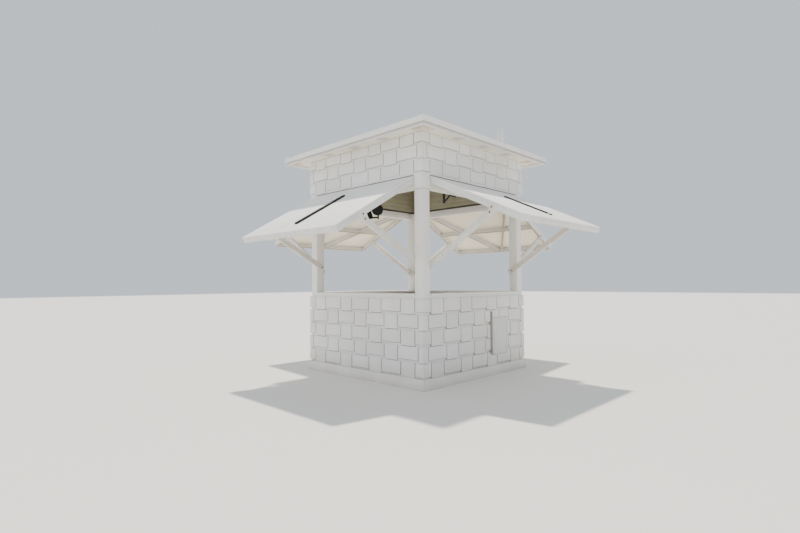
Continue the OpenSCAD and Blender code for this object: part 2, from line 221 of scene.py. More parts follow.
class Painter:
    """Makes each material once and hands it out by name."""

    def __init__(self) -> None:
        """Starts with no materials made."""
        self.made: dict[str, Paint] = {}

    def get(self, finish: Finish) -> Paint:
        """Returns the material of a finish, and builds it at its first use.

        Args:
            finish: the finish, known by its name.

        Returns:
            The material.
        """
        if finish.name not in self.made:
            self.made[finish.name] = self._build(finish)
        return self.made[finish.name]

    def tones(self, finish: Finish) -> list[Paint]:
        """Returns three materials of nearly the same colour for neighbouring boards.

        Args:
            finish: the finish that the first tone has.

        Returns:
            The three materials.
        """
        made = []
        for letter, drop in (("a", 0), ("b", 5), ("c", 9)):
            parts = [int(finish.colour[i : i + 2], 16) - drop for i in (1, 3, 5)]
            colour = "#" + "".join(f"{part:02X}" for part in parts)
            made.append(self.get(replace(finish, name=f"{finish.name}_{letter}", colour=colour)))
        return made

    def _build(self, finish: Finish) -> Paint:
        """Builds a painted or metal surface with patches, streaks, dust and bump.

        Args:
            finish: how the surface looks.

        Returns:
            The new material.
        """
        material = bpy.data.materials.new(finish.name)
        material.use_nodes = True
        tree = material.node_tree
        place = add_node(tree, "ShaderNodeTexCoord").outputs["Object"]
        along = add_node(tree, "ShaderNodeMapping", Vector=place, Scale=finish.grain.value).outputs[0]
        patches = noise(tree, place, 1.7, 6.0, 0.6)
        streaks = noise(tree, along, 2.2, 5.0, 0.65)
        brush = noise(tree, along, 9.0, 3.0, 0.5)
        uneven = blend(tree, "FLOAT", 0.5, patches, streaks)
        worn = stretch(tree, uneven, 0.62 - 0.35 * finish.wear, 0.78 - 0.15 * finish.wear)
        colour = blend(tree, "RGBA", worn, linear(finish.colour), linear(finish.shade))
        if finish.dust:
            colour = self._dusted(tree, place, patches, colour, finish.dust)
        if finish.corner_stain:
            colour = self._stained(tree, place, streaks, colour, finish.corner_stain)
        least, most = finish.roughness
        rough = add_node(tree, "ShaderNodeMapRange", Value=streaks, To_Min=least, To_Max=most)
        marks = blend(tree, "FLOAT", 0.4, streaks, brush)
        bump = add_node(tree, "ShaderNodeBump", Height=marks, Strength=0.35, Distance=finish.bump)
        values = {
            "Metallic": finish.metallic,
            "Specular IOR Level": finish.gloss,
            "Base Color": colour,
            "Roughness": rough.outputs[0],
            "Normal": bump.outputs[0],
        }
        for name, value in values.items():
            set_socket(tree, tree.nodes["Principled BSDF"].inputs[name], value)
        return material

    @staticmethod
    def _dusted(
        tree: bpy.types.NodeTree, place: Socket, uneven: Socket, colour: Socket, strength: float
    ) -> Socket:
        """Adds sand-coloured dust that fades out above the ground.

        Args:
            tree: the material's node tree.
            place: the socket of the object coordinates.
            uneven: a noise that breaks the dust up.
            colour: the colour without dust.
            strength: how strong the dust is, from 0 to 1.

        Returns:
            The socket of the dusted colour.
        """
        height = add_node(tree, "ShaderNodeSeparateXYZ", Vector=place).outputs["Z"]
        fade = maths(tree, "MULTIPLY", stretch(tree, height, 0.34, 0.0), uneven)
        share = maths(tree, "MULTIPLY", fade, 1.6 * strength, clamp=True)
        return blend(tree, "RGBA", share, colour, linear("#C9B79A"))

    @staticmethod
    def _stained(
        tree: bpy.types.NodeTree, place: Socket, uneven: Socket, colour: Socket, strength: float
    ) -> Socket:
        """Adds brown stains near the four corners of the plan.

        Args:
            tree: the material's node tree.
            place: the socket of the object coordinates.
            uneven: a noise that breaks the stains up.
            colour: the colour without stains.
            strength: how strong the stains are, from 0 to 1.

        Returns:
            The socket of the stained colour.
        """
        axes = add_node(tree, "ShaderNodeSeparateXYZ", Vector=place).outputs
        least = maths(tree, "MINIMUM", *(maths(tree, "ABSOLUTE", axes[axis]) for axis in ("X", "Y")))
        patchy = stretch(tree, uneven, 0.36, 0.54)
        share = maths(tree, "MULTIPLY", stretch(tree, least, 1.1, 1.24), patchy)
        share = maths(tree, "MULTIPLY", share, strength, clamp=True)
        return blend(tree, "RGBA", share, colour, linear("#AC9272"))


# White exterior paint on the boards that run along the walls
BOARD_ALONG = Finish("painted_board_along", "#F1F1EF", "#E2E0DA", grain=Grain.ALONG_WALL, dust=0.5, wear=0.5)
# White exterior paint on the upright boards, posts and sleeves
BOARD_UPRIGHT = Finish("painted_board_upright", "#F1F1EF", "#E2E0DB", grain=Grain.UPRIGHT, dust=0.5, wear=0.5)
# White paint on trim such as fascias and counters
TRIM = Finish("trim_paint", "#F1F0EC", "#E2DFD7", grain=Grain.ALONG_WALL, wear=0.35)
# Sun-bleached paint on the tops of the flaps
FLAP_TOP = Finish("flap_top_paint", "#F4F4F2", "#E3E2DD", grain=Grain.EVEN, wear=0.4)
# White paint under the flaps, made creamier as painted warm light bounced up from the sand
FLAP_UNDER_BOUNCE_LIGHT = Finish("flap_under_painted_bounce_light", "#FCF2DF", "#EFE2CB", grain=Grain.EVEN, wear=0.5)
# White paint on the flap rails, made cooler and greyer as painted shade on their sides
SHADED_RAIL = Finish("flap_rail_painted_shade", "#E3E4E4", "#CFCCC4", grain=Grain.EVEN, wear=0.5)
# Brownish grey painted shade on the downward faces of the flap rails
RAIL_UNDERSIDE_SHADE = Finish("rail_underside_painted_shade", "#B5A58C", "#94826A", grain=Grain.EVEN, roughness=(0.65, 0.8), wear=0.6)
# Warm cream paint of the soffit, browned at the corners of the box
SOFFIT = Finish("soffit_paint", "#EFE9DC", "#DDD3C0", grain=Grain.ALONG_WALL, wear=0.4, corner_stain=0.75)
# Grey louvre plates in the soffit
VENT = Finish("soffit_vent_plate", "#E6E0D4", "#D8D0C2", roughness=(0.6, 0.75), wear=0.5)
# Shadowed gaps between the lining boards
GAP = Finish("shadowed_gap", "#6B655B", "#4E493F", roughness=(0.8, 0.9), wear=0.5)
# Dirt and painted shade in the joints beside and below the wall boards, standing for the shadow lines there
JOINT_GRIME_AND_SHADE = Finish("joint_grime_and_painted_shade", "#C2BDB2", "#AFA89B", roughness=(0.75, 0.9), wear=0.5)
# Darker dirt and painted shade in the joints of the base walls, and painted shadow lines under the cap fascia
# and round the notice board's panel
DARK_GRIME_AND_SHADE = Finish("dark_joint_grime_and_painted_shade", "#94908A", "#A29D94", roughness=(0.75, 0.9), wear=0.5)
# Bare steel rail beside the notice board, dulled by salt
DULL_STEEL = Finish(
    "dulled_steel_rail", "#8E8583", "#A29895", roughness=(0.5, 0.65), bump=0.0004, metallic=0.2
)
# Painted shade in the narrow slots of the soffit vents
VENT_SLOT_SHADE = Finish("vent_slot_painted_shade", "#C4BCAE", "#B3A999", roughness=(0.8, 0.9), wear=0.5)
# Deep shadow in the slit over the hinges and along the foot of the lining
SLIT = Finish("hinge_slit", "#4A4640", "#38342F", roughness=(0.8, 0.9), wear=0.5)
# Dark stained boards inside the upper box
LINING = Finish(
    "dark_lining_boards", "#9D9A85", "#817D69", grain=Grain.ALONG_WALL, roughness=(0.7, 0.85), wear=0.6
)
# White plastic-coated strip along the roof's edge and hips
DRIP = Finish("roof_edge_strip", "#F6F6F4", "#E4E3DF", roughness=(0.35, 0.5), bump=0.0003, wear=0.3)
# Paint on the props and their plates
STRUT = Finish("strut_paint", "#E6E4DE", "#CFC7B8", grain=Grain.EVEN, wear=0.55)
# Roofing sheet
ROOF = Finish("roof_sheet", "#D5D5D1", "#BDBCB6", grain=Grain.EVEN, roughness=(0.6, 0.8), wear=0.5)
# Dull zinc plating on screws and clips
ZINC = Finish("zinc_screw", "#A9ABAC", "#8B7F70", roughness=(0.35, 0.55), bump=0.0004, metallic=1.0, wear=0.5)
# Rusty bolt heads
RUST = Finish("rusty_bolt", "#6B4A33", "#8A6A4E", roughness=(0.7, 0.9), bump=0.0008, metallic=0.3)
# Black paint on bars and brackets
BLACK = Finish("black_bar_paint", "#131416", "#242425", roughness=(0.45, 0.6), bump=0.0005, gloss=0.25)
# Pale panels of the notice board and the aerial
NOTICE = Finish("notice_panel", "#E3E3E0", "#D3D2CD", roughness=(0.4, 0.6), bump=0.0003)
# Cast lamp bodies
LAMP = Finish("lamp_body", "#0E0F10", "#1C1D1E", roughness=(0.5, 0.65), bump=0.0004, gloss=0.2)
# Lamp glass
LENS = Finish("lamp_glass", "#D9DCDD", "#C9CCCE", roughness=(0.08, 0.15), bump=0.0001)
# Weathered aluminium of the aerial
ALUMINIUM = Finish(
    "weathered_aluminium", "#F0F1F1", "#E0E2E3", roughness=(0.45, 0.6), bump=0.0002, metallic=0.1
)
# Plain pale studio floor
FLOOR = Finish("pale_floor", "#E8E6E1", "#E4E2DC", bump=0.0, wear=0.2)


@dataclass(frozen=True)
class Courses:
    """The rows of boards of one wall: how many, and their heights in metres."""

    count: int
    first: float
    pitch: float
    lap: float
    low: float
    high: float

    def span(self, row: int) -> tuple[float, float]:
        """Heights of the lower and upper edge of a row's wide boards."""
        foot = self.first + row * self.pitch
        return foot, min(foot + self.pitch - self.lap, self.high)


@dataclass(frozen=True)
class Kiosk:
    """The kiosk's main sizes in metres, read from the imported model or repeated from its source."""

    half: float
    inner: float
    wall_depth: float
    base_height: float
    header_bottom: float
    hinge_z: float
    soffit: float
    plinth_top: float
    board_top: float = 20 * MM
    board_bottom: float = 22 * MM
    hinge_reach: float = 10 * MM
    wide: float = 373 * MM
    corner: float = 133 * MM
    groove: float = 18 * MM
    joint: float = 1 * MM
    base_first: float = 165 * MM
    base_lap: float = 38 * MM
    base_rows: int = 5
    box_first: float = 46 * MM
    box_lap: float = 35 * MM
    box_cut: float = 67 * MM
    box_rows: int = 3
    hinge_gap: float = 11 * MM
    # Height and thickness of the strips of dirt and painted shade under the boards.
    grime_shade_line: float = 9 * MM
    grime_shade_depth: float = 1.5 * MM
    sleeve_rise: float = 2 * MM
    sleeve_depth: float = 12 * MM
    post_side: float = 140 * MM

    @classmethod
    def read(cls) -> "Kiosk":
        """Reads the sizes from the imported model's nodes.

        Returns:
            The kiosk's sizes.
        """
        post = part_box("front_right_post")
        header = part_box("header_beams")
        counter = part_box("front_counter")
        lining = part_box("box_lining")
        return cls(
            half=post[1][0],
            inner=post[0][0],
            wall_depth=post[1][0] - lining[1][0],
            base_height=counter[0][2],
            header_bottom=header[0][2],
            hinge_z=header[1][2],
            soffit=post[1][2],
            plinth_top=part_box("plinth")[1][2],
        )

    @property
    def narrow(self) -> float:
        """Width of a narrow board and its groove."""
        return (self.half - self.corner - 1.5 * self.wide) / 2

    @property
    def weave(self) -> float:
        """Distance between neighbouring wide boards."""
        return self.wide + self.narrow

    @property
    def base_courses(self) -> Courses:
        """The rows of boards on a base wall."""
        pitch = (self.base_height - self.base_first) / self.base_rows
        low, high = self.plinth_top + self.joint, self.base_height - self.joint
        return Courses(self.base_rows, self.base_first, pitch, self.base_lap, low, high)

    @property
    def box_courses(self) -> Courses:
        """The rows of boards on a wall of the upper box."""
        first = self.hinge_z + self.box_first
        pitch = (self.soffit + self.box_cut - first) / self.box_rows
        low, high = self.hinge_z + self.joint, self.soffit - self.joint
        return Courses(self.box_rows, first, pitch, self.box_lap, low, high)

    def corner_joint(self, row: int) -> float:
        """Distance from the wall's middle to the joint before the corner boards of a row."""
        return self.half - self.corner if row % 2 == 0 else 1.5 * self.weave + self.wide / 2


@dataclass(frozen=True)
class Flap:
    """One propped flap: its side and slope in degrees, its props and the sizes that all four share.

    Args:
        strut_head: distance of the props' heads from the hinge line.
        feet: heights of the right and left prop's foot bolts over the base wall.
    """

    side: Side
    tilt: float
    length: float = 1.5
    half_width: float = 1.065
    rail_depth: float = 76 * MM
    rail: float = 38 * MM
    hinge_rail: float = 89 * MM
    skin: float = 12 * MM
    joint: float = 2 * MM
    middle: float = 0.8
    brace_inset: float = 0.13
    hinge_gap: float = 2 * MM
    strut_head: float = 1.08
    feet: tuple[float, float] = (0.362, 0.362)

    def matrix(self, kiosk: Kiosk) -> Matrix:
        """The move from the flap's own frame, slope along -Y and top at zero, to its place."""
        to_hinge = Matrix.Translation((0, -(kiosk.half + kiosk.hinge_reach), kiosk.hinge_z))
        return self.side.matrix @ to_hinge @ Matrix.Rotation(math.radians(self.tilt), 4, "X")

    @property
    def depth(self) -> float:
        """Depth of rails and skin together."""
        return self.rail_depth + self.skin


class Shape:
    """A mesh in the making, from prisms that are bevelled together and then joined."""

    def __init__(self, name: str) -> None:
        """Starts an empty mesh.

        Args:
            name: the name of the Blender object that it becomes.
        """
        self.name = name
        self.bm = bmesh.new()
        self.slots: list[Paint] = []

    def _slot(self, material: Paint) -> int:
        """Index of a material in this shape, added at its first use.

        Args:
            material: the material.

        Returns:
            Its index.
        """
        if material not in self.slots:
            self.slots.append(material)
        return self.slots.index(material)

    def _join(
        self, part: bmesh.types.BMesh, matrix: Matrix, material: Paint, under: Paint | None = None
    ) -> None:
        """Moves a finished part to its place and adds it to the mesh.

        Args:
            part: the part's mesh, which is freed.
            matrix: the move to its place.
            material: its material.
            under: the material of the faces that look down, when it differs.
        """
        index = self._slot(material)
        for face in part.faces:
            face.material_index = self._slot(under) if under and face.normal.z < -0.6 else index
        part.transform(matrix)
        if matrix.determinant() < 0:
            bmesh.ops.reverse_faces(part, faces=part.faces)
        holder = bpy.data.meshes.new("part")
        part.to_mesh(holder)
        part.free()
        self.bm.from_mesh(holder)
        bpy.data.meshes.remove(holder)

    def loft(
        self,
        first: Sequence[Point],
        last: Sequence[Point],
        material: Paint,
        matrix: Matrix = Matrix(),
        bevel: float = 2 * MM,
        under: Paint | None = None,
    ) -> None:
        """Adds a solid between two rings of corners with bevelled edges.

        Args:
            first: the corners of one end as (x, y, z).
            last: the matching corners of the other end.
            material: its material.
            matrix: the move to its place.
            bevel: width of the bevel, or 0 for sharp edges.
            under: the material of the faces that look down, when it differs.
        """
        part = bmesh.new()
        ends = [[part.verts.new(corner) for corner in ring] for ring in (first, last)]
        part.faces.new(ends[0])
        part.faces.new(reversed(ends[1]))
        for i in range(len(first)):
            j = (i + 1) % len(first)
            part.faces.new((ends[0][j], ends[0][i], ends[1][i], ends[1][j]))
        bmesh.ops.recalc_face_normals(part, faces=part.faces)
        if bevel:
            self._bevel(part, bevel)
        part.normal_update()
        self._join(part, matrix, material, under)

    def prism(self, outline: Sequence[Point], low: float, high: float, *rest: object, **more: object) -> None:
        """Adds a prism along X with an outline of (y, z) pairs, and the other arguments of loft."""
        first, last = ([(x, y, z) for y, z in outline] for x in (low, high))
        self.loft(first, last, *rest, **more)

    def slab(self, outline: Sequence[Point], low: float, high: float, *rest: object, **more: object) -> None:
        """Adds an upright prism with an outline of (x, y) pairs, and the other arguments of loft."""
        first, last = ([(x, y, z) for x, y in outline] for z in (low, high))
        self.loft(first, last, *rest, **more)

    def box(self, low: Point, high: Point, *rest: object, **more: object) -> None:
        """Adds a box between two corners, with the other arguments of loft."""
        outline = [(low[1], low[2]), (high[1], low[2]), (high[1], high[2]), (low[1], high[2])]
        self.prism(outline, low[0], high[0], *rest, **more)

    def rod(
        self,
        start: Point,
        end: Point,
        radius: float,
        material: Paint,
        matrix: Matrix = Matrix(),
        sides: int = 20,
        bevel: float = 0.0,
    ) -> None:
        """Adds a round bar between two points.

        Args:
            start: the middle of one end.
            end: the middle of the other end.
            radius: its radius.
            material: its material.
            matrix: the move to its place.
            sides: how many faces go round it.
            bevel: width of the bevel at its ends, or 0 for sharp ends.
        """
        part = bmesh.new()
        a, b = Vector(start), Vector(end)
        bmesh.ops.create_cone(
            part, cap_ends=True, segments=sides, radius1=radius, radius2=radius, depth=(b - a).length
        )
        if bevel:
            self._bevel(part, bevel, 60)
        turn = (b - a).to_track_quat("Z", "Y").to_matrix().to_4x4()
        self._join(part, matrix @ Matrix.Translation((a + b) / 2) @ turn, material)

    def cut(self, matrix: Matrix, point: Point, normal: Point) -> None:
        """Cuts the mesh by a plane and closes it.

        Args:
            matrix: the move of the plane to its place.
            point: a point on the plane.
            normal: the plane's direction, towards the side that is cut off.
        """
        where = matrix @ Vector(point)
        way = (matrix.to_3x3() @ Vector(normal)).normalized()
        geom = [*self.bm.verts, *self.bm.edges, *self.bm.faces]
        done = bmesh.ops.bisect_plane(self.bm, geom=geom, plane_co=where, plane_no=way, clear_outer=True)
        edges = [e for e in done["geom_cut"] if isinstance(e, bmesh.types.BMEdge)]
        bmesh.ops.holes_fill(self.bm, edges=edges, sides=0)

    @staticmethod
    def _bevel(part: bmesh.types.BMesh, width: float, angle: float = 20) -> None:
        """Bevels all edges sharper than an angle in degrees.

        Args:
            part: the mesh.
            width: width of the bevels.
            angle: the least angle that is bevelled.
        """
        least = math.radians(angle)
        sharp = [e for e in part.edges if len(e.link_faces) == 2 and e.calc_face_angle() > least]
        bmesh.ops.bevel(
            part, geom=sharp, offset=width, offset_type="OFFSET", segments=2, profile=0.5,
            affect="EDGES", clamp_overlap=True, material=-1,
        )

    def finish(self, *nodes: str, slot: str = "white_paint") -> bpy.types.Object:
        """Makes the Blender object, which rides on the kiosk and stands for CAD nodes.

        Args:
            nodes: the CAD nodes that it replaces.
            slot: the record's material slot; not used.

        Returns:
            The object.
        """
        mesh = bpy.data.meshes.new(self.name)
        self.bm.to_mesh(mesh)
        self.bm.free()
        for material in self.slots:
            mesh.materials.append(material)
        mesh.shade_smooth()
        mesh.set_sharp_from_angle(angle=math.radians(30))
        made = bpy.data.objects.new(self.name, mesh)
        bpy.context.scene.collection.objects.link(made)
        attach(made, "root")
        if nodes:
            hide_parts(*nodes)
        log.info("%s: %d faces", self.name, len(mesh.polygons))
        return made


@dataclass
class Weave:
    """The woven boards of one wall and the framed wall behind them."""

    kiosk: Kiosk
    painter: Painter
    side: Side
    along: list[Paint] = field(init=False)
    upright: list[Paint] = field(init=False)
    slit_depth: float = 2 * MM

    def __post_init__(self) -> None:
        """Fetches the paints of the boards, in three slightly different tones each."""
        self.along = self.painter.tones(BOARD_ALONG)
        self.upright = self.painter.tones(BOARD_UPRIGHT)

    def board(self, shape: Shape, middle: float, width: float, z0: float, z1: float, paint: Paint) -> None:
        """Adds one board that is thicker at its foot, with dirt and painted shade in the joints on its left
        and under it.

        On the right wall of the upper box the upright joints get no painted shade, because their groove sides
        face the light there, so only the strip under each board is added.

        Args:
            shape: the mesh it goes into.
            middle: its middle along the wall.
            width: its width with one groove.
            z0: height of its lower edge.
            z1: height of its upper edge.
            paint: its paint.
        """
        k = self.kiosk
        edge, back = (width - k.groove) / 2, -k.half
        wedge = [(back, z0), (back - k.board_bottom, z0), (back - k.board_top, z1), (back, z1)]
        shape.prism(wedge, middle - edge, middle + edge, paint, self.side.matrix, 2.5 * MM)
        # Upright strip of dirt and painted shade in the groove on the board's left, left off on the right box
        # wall.
        if self.side is not Side.RIGHT or z0 < k.hinge_z:
            self.joint(shape, middle - edge - k.groove, middle - edge, z0, z1)
        self.joint(shape, middle - edge, middle + edge, z0 - k.grime_shade_line, z0)

    def joint(self, shape: Shape, x0: float, x1: float, z0: float, z1: float) -> None:
        """Adds a thin layer of dirt and painted shade on the wall between two boards, darker on the base
        walls.

        Args:
            shape: the mesh it goes into.
            x0: its left edge.
            x1: its right edge.
            z0: height of its lower edge.
            z1: height of its upper edge.
        """
        k = self.kiosk
        # A thin strip painted as the shade and dirt in the joint.
        grime_shade = self.painter.get(DARK_GRIME_AND_SHADE if z0 < k.base_height else JOINT_GRIME_AND_SHADE)
        shape.box((x0, -k.half - k.grime_shade_depth, z0), (x1, -k.half, z1), grime_shade, self.side.matrix, 0)

    def rows(self, shape: Shape, courses: Courses) -> None:
        """Adds all rows of wide and narrow boards.

        Args:
            shape: the mesh they go into.
            courses: the wall's rows.
        """
        k = self.kiosk
        for row in range(courses.count):
            shift = 0 if row % 2 == 0 else k.weave / 2
            z, top = courses.span(row)
            foot = max(z - courses.lap + k.grime_shade_line, courses.low)
            for i in range(-2, 3):
                wide = shift + i * k.weave
                slim = shift + (i + 0.5) * k.weave
                if abs(wide) + k.wide / 2 < k.half:
                    self.board(shape, wide, k.wide, z, top, self.along[(2 * row + i) % 3])
                if abs(slim) + k.narrow / 2 < k.half:
                    self.board(shape, slim, k.narrow, foot, top, self.upright[(row + 2 * i) % 3])
            corner = k.corner_joint(row)
            self.joint(shape, corner - k.groove / 2, corner + k.groove / 2, z, top)

    def wall(self, shape: Shape, low: float, high: float, front: float, back: float) -> None:
        """Adds a painted box between the posts.

        Args:
            shape: the mesh it goes into.
            low: height of its lower edge.
            high: height of its upper edge.
            front: how far it stands out before the wall's face.
            back: how far it reaches in behind the wall's face.
        """
        k = self.kiosk
        corners = (-k.inner, -k.half - front, low), (k.inner, -k.half + back, high)
        shape.box(*corners, self.along[0], self.side.matrix)

    def base(self) -> None:
        """Makes the base wall."""
        k = self.kiosk
        shape = Shape(f"{self.side.label}_base_boards")
        self.wall(shape, 0, k.base_height, 0, k.wall_depth)
        self.rows(shape, k.base_courses)
        shape.finish(f"{self.side.label}_base_wall")

    def box(self) -> None:
        """Makes the wall of the upper box, with the dark slit and the strip over the flap's hinges."""
        k = self.kiosk
        shape = Shape(f"{self.side.label}_box_boards")
        self.wall(shape, k.hinge_z, k.soffit, 0, k.wall_depth)
        slit_top = k.hinge_z + k.hinge_gap
        low, high = (-k.inner, -k.half - self.slit_depth, k.hinge_z), (k.inner, -k.half, slit_top)
        shape.box(low, high, self.painter.get(SLIT), self.side.matrix, 0.5 * MM)
        self.wall(shape, slit_top, k.hinge_z + k.box_first - k.joint, k.hinge_reach, 0)
        self.rows(shape, k.box_courses)
        shape.finish(f"{self.side.label}_box_wall")


@dataclass
class FlapMaker:
    """Builds the flaps with their rails, skins and lock bars."""

    kiosk: Kiosk
    painter: Painter
    bar_start: float = 0.35
    bar_tip: float = 1.272
    short_start: float = 0.51
    short_end: float = 1.212

    def bevel_cut(self, shape: Shape, flap: Flap) -> None:
        """Cuts the hinge edge upright, clear of the header beam."""
        shape.cut(flap.side.matrix, (0, -(self.kiosk.half + flap.hinge_gap), 0), (0, 1, 0))

    def skin(self, flap: Flap) -> None:
        """Makes the skin sheet, bleached on top, with painted warm bounce light making it creamy underneath.

        Args:
            flap: the flap.
        """
        shape = Shape(f"{flap.side.label}_flap_sheet")
        top = self.painter.get(FLAP_TOP)
        w, n = flap.half_width, -flap.length
        # The underside's creamier colour is painted warm light bounced up from the sand.
        under = self.painter.get(FLAP_UNDER_BOUNCE_LIGHT)
        shape.box((-w, n, -flap.skin), (w, 0, 0), top, flap.matrix(self.kiosk), 1.5 * MM, under)
        self.bevel_cut(shape, flap)
        shape.finish(f"{flap.side.label}_flap_skin", slot="flap_paint")

    def frame(self, flap: Flap) -> None:
        """Makes the rails and V braces under the skin.

        Args:
            flap: the flap.
        """
        shape = Shape(f"{flap.side.label}_flap_rails")
        # The rails' white paint is greyed and cooled as painted shade on their sides.
        paint = self.painter.get(SHADED_RAIL)
        # The rails' downward faces take brownish painted shade.
        shaded_under = self.painter.get(RAIL_UNDERSIDE_SHADE)
        w, r, j = flap.half_width, flap.rail, flap.joint
        cross = w - r - j
        low, high = -flap.depth, -flap.skin
        place = flap.matrix(self.kiosk)
        bars = [
            (-w, -w + r, 0, flap.length),
            (w - r, w, 0, flap.length),
            (-cross, cross, 0, flap.hinge_rail),
            (-cross, cross, flap.middle - r / 2, flap.middle + r / 2),
            (-cross, cross, flap.length - r, flap.length),
        ]
        for x0, x1, a0, a1 in bars:
            shape.box((x0, -a1, low), (x1, -a0, high), paint, place, under=shaded_under)
        spread, run = w - flap.brace_inset, flap.length + 20 * MM
        slant = math.hypot(1, spread / run) * r / 2
        near, far = flap.middle - r / 2 - j, flap.middle + r / 2 + j
        spans = [(flap.hinge_rail + j, near), (far, flap.length - r - j)]
        for hand in (-1, 1):
            for a0, a1 in spans:
                corners = []
                for a, way in ((a0, -1), (a0, 1), (a1, 1), (a1, -1)):
                    corners.append((hand * spread * (1 - a / run) + way * slant, -a))
                shape.slab(corners, low, high, paint, place, under=shaded_under)
        self.bevel_cut(shape, flap)
        shape.finish(f"{flap.side.label}_flap_frame", slot="flap_paint")

    def lock_bars(self, flaps: list[Flap]) -> None:
        """Makes the black bars with a middle plate, the right flap's one shorter and off its end loop.

        Args:
            flaps: all the flaps.
        """
        shape = Shape("black_lock_bars")
        black = self.painter.get(BLACK)
        for flap in flaps:
            start, end, half, thick = self.bar_start, self.bar_tip, 33 * MM, 22 * MM
            if flap.side is Side.RIGHT:
                start, end, half, thick = self.short_start, self.short_end, 30 * MM, 17 * MM
            middle, wide = (start + end) / 2, half + 6 * MM
            place = flap.matrix(self.kiosk)
            for reach, a0, a1, high, bevel in (
                (half, start, end, thick, 4 * MM),
                (wide, middle - 30 * MM, middle + 30 * MM, thick, 3 * MM),
                (half, self.bar_tip - 24 * MM, self.bar_tip, thick - 1 * MM, 4 * MM),
            ):
                shape.box((-reach, -a1, 0), (reach, -a0, high), black, place, bevel)
        shape.finish("lock_bars", slot="black_steel")


